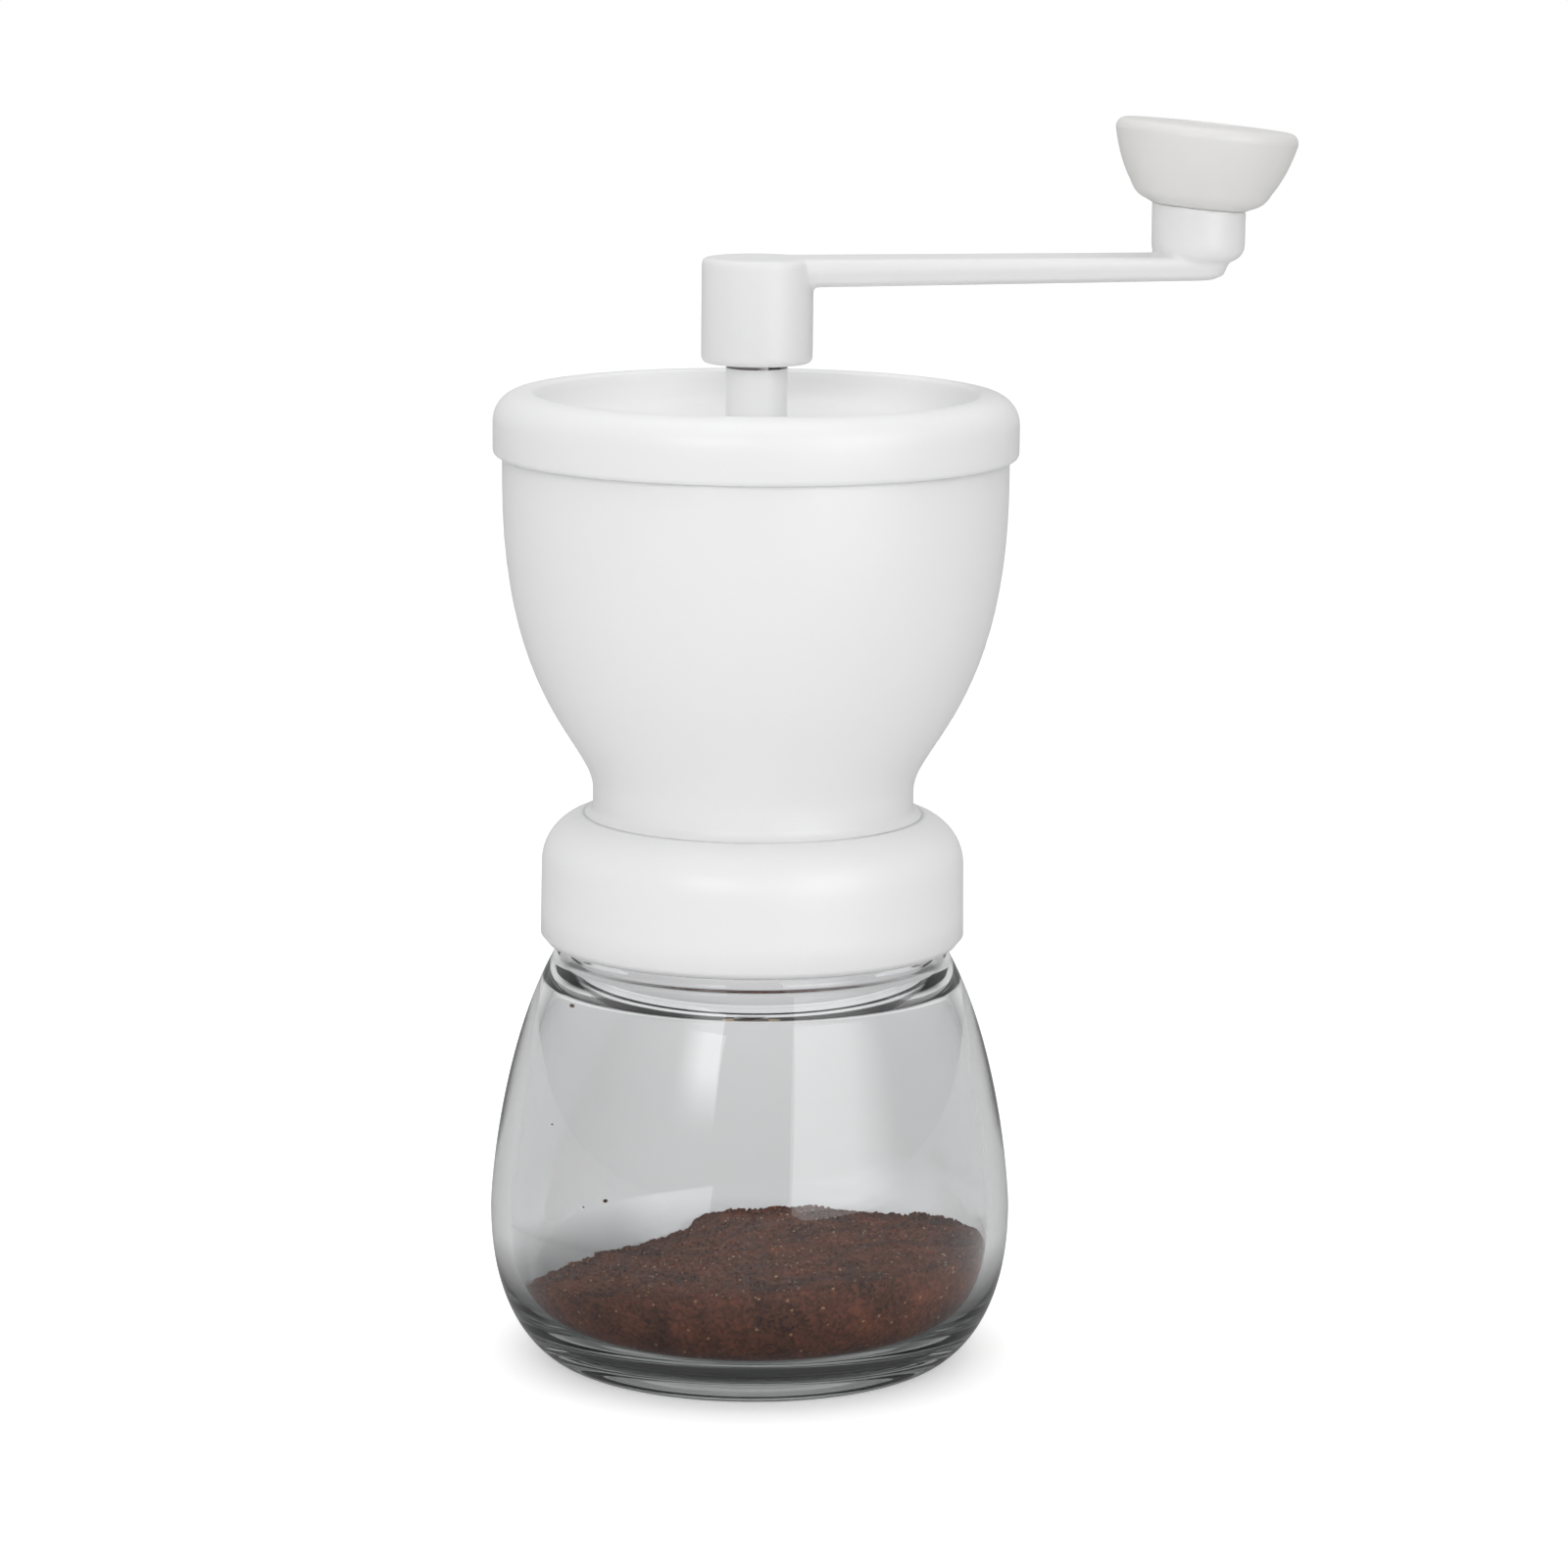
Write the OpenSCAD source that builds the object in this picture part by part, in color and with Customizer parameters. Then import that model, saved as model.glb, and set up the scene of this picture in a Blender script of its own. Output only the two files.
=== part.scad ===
// Hand coffee grinder: glass jar, hourglass hopper body with ceramic burrs, lid and crank.
// Millimetres, +Z up. The origin is on the grinder's axis, in the plane that the jar stands on.

/* [Jar] */
// Largest diameter of the glass jar
jar_d = 89.6; // [86:0.4:94]
// Height of the widest place of the belly
jar_belly_z = 26; // [23:0.5:29]
// Outer diameter of the ring that the jar stands on
jar_foot_d = 66; // [62:1:68]
// Width of the standing ring
jar_foot_w = 3; // [2:0.25:4]
// Glass thickness at the belly
jar_wall = 3.4; // [2.8:0.1:3.8]
// Glass thickness of the floor above the hollow
jar_floor = 4; // [3:0.25:5.5]
// Depth of the hollow under the floor
jar_punt = 1.5; // [0.8:0.1:2.2]
// Height at which the shoulder reaches the neck's bead
jar_shoulder_z = 67.3; // [65:0.5:70]
// Depth of the coffee grounds on the axis
grounds_h = 12.3; // [10:0.1:17]
// Slope of the grounds
grounds_slope = 7; // [0:0.1:11]
// Compass direction in which the grounds lie highest
grounds_turn = -56; // [-180:4:180]

/* [Jar neck] */
// Room between the neck and the burr's skirt inside it
neck_room = 2.4; // [1.8:0.1:2.8]
// Glass thickness of the neck
neck_wall = 3; // [2.6:0.1:3.2]
// Height of the neck above the shoulder
neck_h = 20.7; // [20:0.1:23]
// How far the bead stands out from the neck
bead_reach = 2.8; // [2.2:0.1:3]
// Height of the bead
bead_h = 3.2; // [2.4:0.1:3.6]
// Rise of the screw thread in one turn
thread_pitch = 4.2; // [3.8:0.1:4.6]
// Height of the thread's ridge
thread_depth = 1.3; // [1:0.1:1.4]
// Turns of thread on the neck
thread_turns = 1.25; // [1:0.25:1.5]

/* [Hopper body] */
// Wall of the collar round its thread
collar_wall = 2.8; // [2.8:0.1:4]
// Gap between the collar's lower edge and the jar's bead
collar_gap = 2.5; // [1:0.1:3]
// Thickness of the collar's top
collar_top_t = 4.5; // [3.5:0.1:5.5]
// Radius of the collar's shoulder
collar_round = 8.5; // [6:0.1:9]
// Diameter of the waist
waist_d = 54.9; // [54.6:0.1:57]
// Height of the straight waist above the collar
waist_h = 4.4; // [3.5:0.1:6]
// Diameter of the bowl's rim
bowl_d = 86; // [82:0.5:90]
// Height of the bowl's curve
bowl_h = 52.6; // [48:0.2:60]
// Straight height of the bowl's rim
bowl_rim_h = 10.5; // [9:0.1:12]
// Wall thickness of the body
body_wall = 2.4; // [2:0.1:2.5]

/* [Burrs] */
// Outer diameter of the ring burr
burr_od = 44; // [43.4:0.2:44.4]
// Height of the ring burr
burr_h = 14; // [12:0.5:15]
// Width of the ring burr's lower face
burr_face_w = 3.4; // [3.2:0.1:4.4]
// Height of the fine grinding zone
burr_zone_h = 5; // [4:0.25:6]
// Inward slope of the grinding faces, in mm of radius for each mm of height
burr_taper = 0.28; // [0.2:0.01:0.32]
// Coarsest gap between the burrs, measured along the radius
burr_gap = 0.9; // [0.85:0.05:1.2]
// Travel of the cone burr from the coarsest to the finest setting
burr_travel = 2.2; // [1.8:0.1:2.2]
// Distance from the ring burr's opening in to the hollow of the cone burr
cone_wall = 6; // [5.8:0.1:6.8]
// Number of flutes on each burr
burr_flutes = 12; // [8:1:16]
// Wall outside the ring burr's pocket
skirt_wall = 3.9; // [3.6:0.1:4.1]
// Thickness of the retaining ring
retainer_t = 2.4; // [2:0.1:3]

/* [Shaft] */
// Diameter of the steel shaft
shaft_d = 8; // [7.4:0.1:8.4]
// Width across flats of the shaft's square-cut hexagon for the crank
drive_flats = 6.8; // [6.2:0.1:6.8]
// Length of that hexagon inside the crank
drive_h = 11; // [9:0.5:13]
// Width across flats of the lower hexagon in the burr driver
lower_flats = 6.2; // [5.8:0.1:6.3]
// Diameter of the shaft's threaded end
shaft_thread_d = 6; // [5:0.1:6.2]
// Wall of the sleeve over the shaft
sleeve_wall = 1.15; // [0.9:0.05:1.3]
// Height of the sleeve's top above the lid's floor
sleeve_rise = 10.3; // [8:0.1:14]
// Wall of the two bushes
bush_wall = 2; // [1.5:0.1:2.4]
// Length of each bush without its flange
bush_h = 5; // [4:0.25:6]
// Height of the carrier's hub
carrier_hub_h = 13; // [12.5:0.25:16]
// Thickness of the carrier's ring and arms
carrier_t = 3.6; // [3:0.1:4.5]
// Room for the spring between its seat and the bush, at the coarsest setting
spring_h = 7.2; // [6.8:0.1:8.4]
// Wire of the spring
spring_wire = 0.9; // [0.7:0.05:0.95]
// Height of the adjusting nut
nut_h = 4; // [3.5:0.1:5]
// Diameter of the adjusting nut
nut_d = 22; // [18:0.5:28]

/* [Lid] */
// Wall of the lid's skirt
lid_wall = 1.3; // [1.3:0.1:2.4]
// Height of the lid's skirt below the bowl's rim
lid_skirt_h = 6.1; // [5:0.1:7]
// Radius of the lid's rounded edge
lid_round = 5; // [4:0.1:5.5]
// Height of the crest above the bowl's rim
lid_crest_h = 4.7; // [4.2:0.1:6]
// Depth of the dish in the lid
lid_dish = 6.2; // [5:0.1:6.4]
// Thickness of the lid's floor
lid_floor_t = 2; // [1.6:0.1:2.6]
// Depth of the ring that plugs the bowl
lid_plug_h = 6.5; // [5:0.1:7.5]

/* [Crank] */
// Distance from the shaft to the post of the knob
crank_l = 76.4; // [60:0.2:90]
// Diameter of the crank's hub
hub_d = 18.9; // [18:0.1:22]
// Height of the hub
hub_h = 17.8; // [16:0.1:20]
// Width of the arm at the hub
arm_w = 12; // [10:0.5:14]
// Thickness of the arm at the hub
arm_t = 5; // [4.4:0.1:6]
// Thickness of the arm at the post
arm_tip_t = 4.2; // [3.8:0.1:5]
// Diameter of the post
post_d = 16; // [14:0.2:17]
// Height of the post above the arm, on its axis
post_h = 8.2; // [7:0.1:14]

/* [Knob] */
// Diameter of the knob's rim
knob_d = 31.2; // [28:0.2:36]
// Height of the knob along its axis
knob_h = 14.2; // [14:0.1:18]
// Diameter of the knob's foot
knob_foot_d = 17.4; // [16.6:0.2:19]
// Lean of the knob's axis away from the shaft
knob_lean = 5.5; // [0:0.5:6]
// Diameter of the spindle that the knob turns on
spindle_d = 6; // [5:0.1:6.4]
// Diameter of the cap in the knob's top
cap_d = 11.8; // [11.4:0.1:13]

/* [Screws] */
// Diameter of the screws that hold the carrier and the retaining ring
screw_d = 2.6; // [2:0.1:2.8]
// Diameter of their heads
screw_head_d = 4.4; // [4:0.1:4.6]
// Height of their heads
screw_head_h = 1.7; // [1.4:0.1:2]

/* [Fits] */
// Gap between pieces that move against each other
gap = 0.3; // [0.25:0.01:0.35]
// Clearance all round in a turning or sliding fit
fit = 0.05; // [0.03:0.01:0.08]
// Radial room between the ridges of the screw thread and the wall opposite
thread_room = 0.6; // [0.5:0.02:0.7]

/* [Hidden] */
$fn = 96;

// Radii that the neck and the collar follow
burr_r = burr_od / 2;
pocket_r = burr_r + gap;
skirt_r = pocket_r + skirt_wall;

// Radii and heights of the jar
belly_r = jar_d / 2;
foot_r = jar_foot_d / 2;
inner_r = belly_r - jar_wall;
floor_z = jar_punt + jar_floor;
neck_ri = skirt_r + neck_room;
neck_r = neck_ri + neck_wall;
bead_r = neck_r + bead_reach;
bead_z = jar_shoulder_z + bead_h;
mouth_z = jar_shoulder_z + neck_h;
heel_pull = 0.81 * jar_belly_z;
belly_pull = 4.5;
shoulder_steep = 62;
shoulder_pull = 18;
shoulder_way = [-cos(shoulder_steep), sin(shoulder_steep)];
bead_edge_r = 1.4;
shoulder_top = [bead_r, bead_z - bead_edge_r * (1 - cos(shoulder_steep))];
inner_top = [bead_r - 1.4, jar_shoulder_z - 1.9];
inner_pull = 14;
neck_pull = 2.6;

// Low heaps on the grounds: place on the slope, radius and height
grounds_heaps = [[11, 26.4, 15, 1.4], [-23.8, -7.8, 13, 1], [16.9, -18.4, 14, 1]];

// Screw thread between the jar and the collar
thread_foot_w = 2;
thread_crest_w = 1;
thread_z = mouth_z - 3.2 - thread_turns * thread_pitch - thread_foot_w / 2;
thread_steps = 36;
thread_drop = (thread_foot_w + thread_crest_w) / 2 + gap / 2;

// Collar, waist and bowl
gasket_t = 1.9;
ceiling_z = mouth_z + gasket_t + 2 * gap;
collar_z = bead_z + collar_gap;
collar_ri = neck_r + thread_depth + thread_room;
collar_r = collar_ri + collar_wall;
collar_top_z = ceiling_z + collar_top_t;
collar_draft = 0.15;
shoulder_from = 2;
shoulder_to = 82;
waist_r = waist_d / 2;
waist_fillet = 1.6;
bowl_z = collar_top_z + waist_h;
bowl_r = bowl_d / 2;
bowl_ri = bowl_r - body_wall;
bowl_top_z = bowl_z + bowl_h;
rim_z = bowl_top_z + bowl_rim_h;
bowl_foot_pull = 7.9;
bowl_side_pull = 0.72 * bowl_h;

// Burrs and what holds them
burr_top_z = ceiling_z + 1.5;
burr_z = burr_top_z - burr_h;
key_w = 6;
key_reach = 1.3;
throat_lip = 3;
throat_r = burr_r - throat_lip;
burr_mouth_r = burr_r - burr_face_w;
burr_hollow_r = burr_mouth_r - cone_wall;
burr_neck_r = burr_mouth_r - burr_taper * burr_zone_h;
burr_lip = 1.4;
cone_z = burr_z - 1;
cone_r = burr_mouth_r - burr_gap + burr_taper;
cone_shoulder_h = burr_zone_h + 2.5;
cone_shoulder_r = cone_r - burr_taper * cone_shoulder_h;
cone_top_r = 8.5;
cone_web = 6.5;
cone_hollow_z = burr_top_z - cone_web;
hollow_chamfer = 1;
retainer_ri = burr_mouth_r + 0.8;
retainer_z = burr_z - retainer_t;
retainer_screw_r = pocket_r + skirt_wall / 2;
screw_bite = 4.5;
screw_spare = 0.5;
lug_w = 4;
lug_reach = 1.8;
lug_h = 5;
flute_depth = 1.1;
flute_w = 2.2;
flute_twist = 28;
tooth_w = 0.9;
tooth_depth = 0.5;

// Shaft, its bearings and the spring
shaft_r = shaft_d / 2;
seat_z = burr_top_z + 6;
carrier_r = waist_r - body_wall - fit;
carrier_ring_w = 5.4;
carrier_arms = 3;
carrier_arm_w = 4;
flange_t = 1;
spring_seat_t = 0.6;
hub_z = burr_top_z + spring_seat_t + spring_h + flange_t;
carrier_hub_r = shaft_r + fit + bush_wall + 2;
flange_r = carrier_hub_r - 0.8;
spring_r = shaft_r + 1.45;
spring_turns = 4;
spring_z = burr_top_z + spring_seat_t + gap / 2;
washer_t = 0.7;
washer_z = hub_z + carrier_hub_h + flange_t + gap;
sleeve_z = washer_z + washer_t;
sleeve_r = shaft_r + fit + sleeve_wall;
driver_t = 2.4;
driver_z = cone_z - driver_t;
driver_r = burr_hollow_r - gap;
driver_flange_r = cone_r - 2.5;
nut_z = driver_z - gap - nut_h;
nut_r = nut_d / 2;
insert_r = 5;
shaft_z = nut_z - 1.3;
thread_top_z = driver_z + burr_travel;

// Lid
lid_z = rim_z - lid_skirt_h;
lid_crest_z = rim_z + lid_crest_h;
lid_floor_z = lid_crest_z - lid_dish;
lid_hole_r = sleeve_r + 0.4;
skirt_ri = bowl_r + gap;
lid_r = skirt_ri + lid_wall;
plug_r = bowl_ri - gap;
plug_t = 1.8;
dish_r = plug_r - plug_t;
dish_edge_r = 1.2;
dish_edge_to = 150;
dish_slope_w = 3.2;

// Crank
sleeve_top_z = lid_floor_z + sleeve_rise;
clip_t = 0.6;
clip_z = sleeve_top_z + fit;
crank_z = clip_z + clip_t + 3 * fit;
crank_top_z = crank_z + hub_h;
hub_r = hub_d / 2;
shaft_top_z = crank_z + drive_h;
socket_gap = 0.1;
post_r = post_d / 2;
post_top_z = crank_top_z + post_h;
post_sink = 1.2;
post_edge_r = 3;
arm_short = 1;
arm_flare = 0.2;
arm_under = 2.6;

// Knob, drawn along its own axis from the top of the post
knob_r = knob_d / 2;
knob_foot_r = knob_foot_d / 2;
spindle_r = spindle_d / 2;
cap_r = cap_d / 2;
cap_t = 1.3;
knob_gap = 3 * fit;
knob_pocket = 5;
web_top = knob_h - knob_pocket;
knob_edge_r = 1.7;
knob_edge_from = -22;
knob_edge_to = 78;
well_r = cap_r - 0.85;
spindle_top = web_top + 0.5 * gap;
spindle_root = 8;
knob_washer_t = 0.8;
knob_screw_d = 3;
knob_screw_l = 5;
knob_hole_l = knob_screw_l + 2;

// Curves of the outlines, as lists of [radius, height]
function curve(p0, p1, p2, p3, n) = [for (i = [0:n]) let (t = i / n)
    pow(1 - t, 3) * p0 + 3 * pow(1 - t, 2) * t * p1 + 3 * (1 - t) * t * t * p2 + pow(t, 3) * p3];
function arc(c, r, a0, a1, n) = [for (i = [0:n]) let (a = a0 + (a1 - a0) * i / n)
    c + r * [cos(a), sin(a)]];
function tidy(p) = [for (i = [0:len(p) - 1])
    if (norm(p[i] - p[(i + 1) % len(p)]) > 0.002) p[i]];

module turned(outline) {
    rotate_extrude() polygon(tidy(outline));
}

// A ring with a plain bore
module ring(z, h, r, bore_r) {
    translate([0, 0, z]) difference() {
        cylinder(h = h, r = r);
        translate([0, 0, -1]) cylinder(h = h + 2, r = bore_r);
    }
}

// A hexagonal bar, measured across its flats
module hex_bar(z, h, flats) {
    translate([0, 0, z]) cylinder(h = h, r = flats / 2 / cos(30), $fn = 6);
}

// One helical ridge from root_r to crest_r, which runs out at both ends
module thread_ridge(root_r, crest_r, z0) {
    steps = thread_steps * thread_turns;
    inward = crest_r < root_r;
    back_r = inward ? root_r + 0.4 : root_r - 0.4;
    pts = [for (i = [0:steps]) let (
            a = 360 * i / thread_steps,
            z = z0 + thread_pitch * i / thread_steps,
            full = min(1, (i + 0.6) / 4, (steps - i + 0.6) / 4),
            r = root_r + (crest_r - root_r) * full,
            foot = thread_foot_w / 2,
            tip = thread_crest_w / 2)
        each [for (q = [[back_r, -foot], [r, -tip], [r, tip], [back_r, foot]])
            [q[0] * cos(a), q[0] * sin(a), z + q[1]]]];
    sides = [for (i = [0:steps - 1], j = [0:3]) let (
            k = (j + 1) % 4, a = 4 * i + j, b = 4 * i + k, c = b + 4, d = a + 4)
        each [[a, b, c], [a, c, d]]];
    ends = [[0, 3, 2], [0, 2, 1], [4 * steps, 4 * steps + 1, 4 * steps + 2],
            [4 * steps, 4 * steps + 2, 4 * steps + 3]];
    faces = concat(sides, ends);
    polyhedron(pts, inward ? [for (f = faces) [f[2], f[1], f[0]]] : faces);
}

// The glass's inner surface from the floor up to the neck, drawn in by a gap
function jar_inside(g) = concat(
    curve([foot_r - 6, floor_z + g], [foot_r + 2 - g, floor_z + g],
          [inner_r - g, floor_z + 3], [inner_r - g, jar_belly_z], 14),
    curve([inner_r - g, jar_belly_z], [inner_r - g, jar_belly_z + belly_pull],
          inner_top - [g, 0] - inner_pull * shoulder_way, inner_top - [g, 0], 14));

function jar_outside() = concat(
    arc([foot_r - jar_foot_w - jar_punt, 0], jar_punt, 90, 0, 6),
    curve([foot_r, 0], [foot_r + 1.3, 0], [belly_r, jar_belly_z - heel_pull],
          [belly_r, jar_belly_z], 18),
    curve([belly_r, jar_belly_z], [belly_r, jar_belly_z + belly_pull],
          shoulder_top - shoulder_pull * shoulder_way, shoulder_top, 16),
    arc([bead_r - bead_edge_r * sin(shoulder_steep), bead_z - bead_edge_r], bead_edge_r,
        90 - shoulder_steep, 90, 5),
    arc([neck_r + 0.8, bead_z + 0.8], 0.8, -90, -180, 4),
    arc([neck_r - 1, mouth_z - 1], 1, 0, 90, 5));

module glass_jar() {
    neck_inside = concat([[0, floor_z]], jar_inside(0),
        curve(inner_top, inner_top + neck_pull * shoulder_way,
              [neck_ri, jar_shoulder_z + 2.2], [neck_ri, jar_shoulder_z + 4.6], 8),
        arc([neck_ri + 0.8, mouth_z - 0.8], 0.8, 180, 90, 4));
    backwards = [for (i = [len(neck_inside) - 1:-1:0]) neck_inside[i]];
    color([0.72, 0.75, 0.76, 0.5]) union() {
        turned(concat([[0, jar_punt]], jar_outside(), backwards));
        thread_ridge(neck_r, neck_r + thread_depth, thread_z);
    }
}

// The grounds fill the jar's foot up to a sloping surface with low heaps on it
module coffee_grounds() {
    reach = jar_d;
    color([0.27, 0.17, 0.13]) intersection() {
        turned(concat([[0, floor_z + gap / 2]], jar_inside(gap / 2), [[0, inner_top[1]]]));
        translate([0, 0, floor_z + grounds_h]) rotate([0, 0, grounds_turn])
        rotate([0, -grounds_slope, 0]) rotate([0, 0, -grounds_turn]) union() {
            translate([-reach, -reach, -reach]) cube([2 * reach, 2 * reach, reach]);
            for (heap = grounds_heaps) heap_cap(heap[2], heap[3], [heap[0], heap[1]]);
        }
    }
}

// The top of a ball, r wide on each side and h high over the plane
module heap_cap(r, h, place) {
    ball_r = (r * r + h * h) / (2 * h);
    translate([place[0], place[1], h - ball_r]) sphere(r = ball_r);
}

module jar_gasket() {
    color([0.93, 0.93, 0.92]) ring(mouth_z + gap, gasket_t, neck_r + 0.9, neck_ri + 0.4);
}

// The hopper body is one moulding: collar, waist and bowl, with the burr's pocket inside
module hopper_body() {
    shoulder = [collar_r - collar_draft - collar_round, collar_top_z - collar_round];
    outside = concat(
        [[collar_ri, collar_z + 0.6], [collar_ri + 0.6, collar_z], [collar_r - 1.1, collar_z],
         [collar_r, collar_z + 1.3]],
        arc(shoulder, collar_round, shoulder_from, shoulder_to, 12),
        arc([waist_r + waist_fillet, collar_top_z + waist_fillet], waist_fillet, -90, -180, 5),
        curve([waist_r, bowl_z], [waist_r + 0.2, bowl_z + bowl_foot_pull],
              [bowl_r, bowl_top_z - bowl_side_pull], [bowl_r, bowl_top_z], 22));
    bowl_inside = curve([bowl_ri, bowl_top_z], [bowl_ri, bowl_top_z - bowl_side_pull],
        [waist_r - body_wall + 0.2, bowl_z + bowl_foot_pull + 1.4],
        [waist_r - body_wall, bowl_z + 2.4], 20);
    pocket = [[waist_r - body_wall, seat_z], [throat_r, seat_z], [throat_r, burr_top_z],
              [pocket_r, burr_top_z], [pocket_r, burr_z], [skirt_r, burr_z],
              [skirt_r, ceiling_z], [collar_ri, ceiling_z]];
    color([0.94, 0.94, 0.945]) difference() {
        union() {
            turned(concat(outside, [[bowl_r, rim_z - 0.5], [bowl_r - 0.5, rim_z],
                [bowl_ri + 0.4, rim_z], [bowl_ri, rim_z - 0.4]], bowl_inside, pocket));
            thread_ridge(collar_ri, collar_ri - thread_depth, thread_z - thread_drop);
        }
        // Keyways for the ring burr
        for (i = [0:2]) rotate([0, 0, 120 * i])
            translate([burr_r - 2, -key_w / 2 - gap, burr_z - 1])
            cube([2 + key_reach + gap, key_w + 2 * gap, burr_h + 1]);
        // Holes for the retaining ring's screws
        for (i = [0:2]) rotate([0, 0, 60 + 120 * i])
            translate([retainer_screw_r, 0, burr_z - 1])
            cylinder(h = screw_bite + screw_spare + 1, r = screw_d / 2 + fit, $fn = 24);
        // Holes for the carrier's screws
        for (i = [0:carrier_arms - 1]) rotate([0, 0, 90 + 120 * i])
            translate([carrier_r - carrier_ring_w / 2, 0, seat_z - screw_bite - screw_spare])
            cylinder(h = screw_bite + screw_spare + 1, r = screw_d / 2 + fit, $fn = 24);
    }
}

// Grooves in a burr: each starts at radius r and height z, and leans out and round as it rises
module burr_cuts(n, r, z, h, lean, twist, w, depth) {
    for (i = [0:n - 1]) rotate([0, 0, 360 * i / n])
        translate([r, 0, z]) rotate([twist, lean, 0])
        translate([-depth, -w / 2, -1]) cube([2 * depth, w, h + 1]);
}

module outer_burr() {
    color([0.95, 0.94, 0.91]) difference() {
        union() {
            turned([[burr_mouth_r, burr_z], [burr_r - 0.4, burr_z], [burr_r, burr_z + 0.4],
                [burr_r, burr_top_z - 0.4], [burr_r - 0.4, burr_top_z],
                [burr_r - burr_lip, burr_top_z], [burr_neck_r, burr_z + burr_zone_h]]);
            for (i = [0:2]) rotate([0, 0, 120 * i])
                translate([burr_r - 1, -key_w / 2, burr_z])
                cube([1 + key_reach, key_w, burr_h - 1]);
        }
        burr_cuts(burr_flutes, burr_neck_r, burr_z + burr_zone_h, burr_h - burr_zone_h + 1,
            atan((burr_r - burr_lip - burr_neck_r) / (burr_h - burr_zone_h)),
            flute_twist, flute_w, flute_depth);
        burr_cuts(2 * burr_flutes, burr_mouth_r, burr_z, burr_zone_h,
            -atan(burr_taper), flute_twist, tooth_w, tooth_depth);
    }
}

module burr_retainer() {
    color([0.2, 0.2, 0.21]) difference() {
        ring(retainer_z, retainer_t, skirt_r, retainer_ri);
        for (i = [0:2]) rotate([0, 0, 60 + 120 * i])
            translate([retainer_screw_r, 0, retainer_z - 1])
            cylinder(h = retainer_t + 2, r = screw_d / 2 + fit, $fn = 24);
    }
}

// A pan-head screw with a crossed slot: its shank runs down from z = 0, its head stands above
module screw(shank_l, d, head_d, head_h) {
    difference() {
        union() {
            translate([0, 0, -shank_l]) cylinder(h = shank_l + 0.1, r = d / 2, $fn = 24);
            rotate_extrude($fn = 32) polygon([[0, 0], [head_d / 2, 0],
                [head_d / 2, head_h * 0.45], [head_d / 2 - head_h * 0.4, head_h], [0, head_h]]);
        }
        for (a = [0, 90]) rotate([0, 0, a])
            translate([-head_d * 0.27, -0.3, head_h * 0.45]) cube([head_d * 0.54, 0.6, head_h]);
    }
}

module retainer_screws() {
    color([0.72, 0.72, 0.72]) for (i = [0:2]) rotate([0, 0, 60 + 120 * i])
        translate([retainer_screw_r, 0, retainer_z]) mirror([0, 0, 1])
        screw(retainer_t + screw_bite, screw_d, screw_head_d, screw_head_h);
}

// The carrier bridges the throat and holds the shaft's two bushes
module shaft_carrier() {
    ring_mid_r = carrier_r - carrier_ring_w / 2;
    color([0.9, 0.9, 0.9]) difference() {
        union() {
            ring(seat_z, carrier_t, carrier_r, carrier_r - carrier_ring_w);
            translate([0, 0, hub_z]) cylinder(h = carrier_hub_h, r = carrier_hub_r);
            for (i = [0:carrier_arms - 1]) rotate([0, 0, 30 + 120 * i]) {
                translate([carrier_hub_r - 1, -carrier_arm_w / 2, hub_z])
                    cube([ring_mid_r - carrier_hub_r + 2, carrier_arm_w, carrier_t + 1]);
                translate([ring_mid_r - 1, -carrier_arm_w / 2, seat_z])
                    cube([2, carrier_arm_w, hub_z - seat_z + carrier_t]);
            }
        }
        translate([0, 0, hub_z - 1])
            cylinder(h = carrier_hub_h + 2, r = shaft_r + fit + bush_wall);
        for (i = [0:carrier_arms - 1]) rotate([0, 0, 90 + 120 * i])
            translate([ring_mid_r, 0, seat_z - 1])
            cylinder(h = carrier_t + 2, r = screw_d / 2 + fit, $fn = 24);
    }
}

module carrier_screws() {
    color([0.72, 0.72, 0.72]) for (i = [0:carrier_arms - 1]) rotate([0, 0, 90 + 120 * i])
        translate([carrier_r - carrier_ring_w / 2, 0, seat_z + carrier_t])
        screw(carrier_t + screw_bite, screw_d, screw_head_d, screw_head_h);
}

// A flanged bush that stands on its flange
module bush() {
    color([0.72, 0.55, 0.25]) difference() {
        union() {
            cylinder(h = bush_h + flange_t, r = shaft_r + fit + bush_wall);
            cylinder(h = flange_t, r = flange_r);
        }
        translate([0, 0, -1]) cylinder(h = bush_h + flange_t + 2, r = shaft_r + fit);
    }
}

module lower_bush() {
    translate([0, 0, hub_z - flange_t]) bush();
}

module upper_bush() {
    translate([0, 0, hub_z + carrier_hub_h + flange_t]) mirror([0, 0, 1]) bush();
}

module drive_shaft() {
    groove_r = drive_flats / 2 - 0.3;
    color([0.75, 0.75, 0.76]) union() {
        turned([[0, shaft_z], [shaft_thread_d / 2 - 0.6, shaft_z],
            [shaft_thread_d / 2, shaft_z + 0.6], [shaft_thread_d / 2, thread_top_z + 1],
            [0, thread_top_z + 1]]);
        hex_bar(thread_top_z, burr_top_z - thread_top_z, lower_flats);
        turned([[0, burr_top_z - 1], [shaft_r - 0.3, burr_top_z - 1],
            [shaft_r, burr_top_z - 0.7], [shaft_r, sleeve_top_z], [groove_r, sleeve_top_z],
            [groove_r, clip_z + clip_t + fit], [0, clip_z + clip_t + fit]]);
        hex_bar(clip_z + clip_t, shaft_top_z - clip_z - clip_t, drive_flats);
    }
}

module thrust_washer() {
    color([0.6, 0.6, 0.62]) ring(washer_z, washer_t, flange_r, shaft_r + fit);
}

module shaft_sleeve() {
    color([0.94, 0.94, 0.945])
        ring(sleeve_z, sleeve_top_z - sleeve_z, sleeve_r, shaft_r + fit);
}

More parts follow.
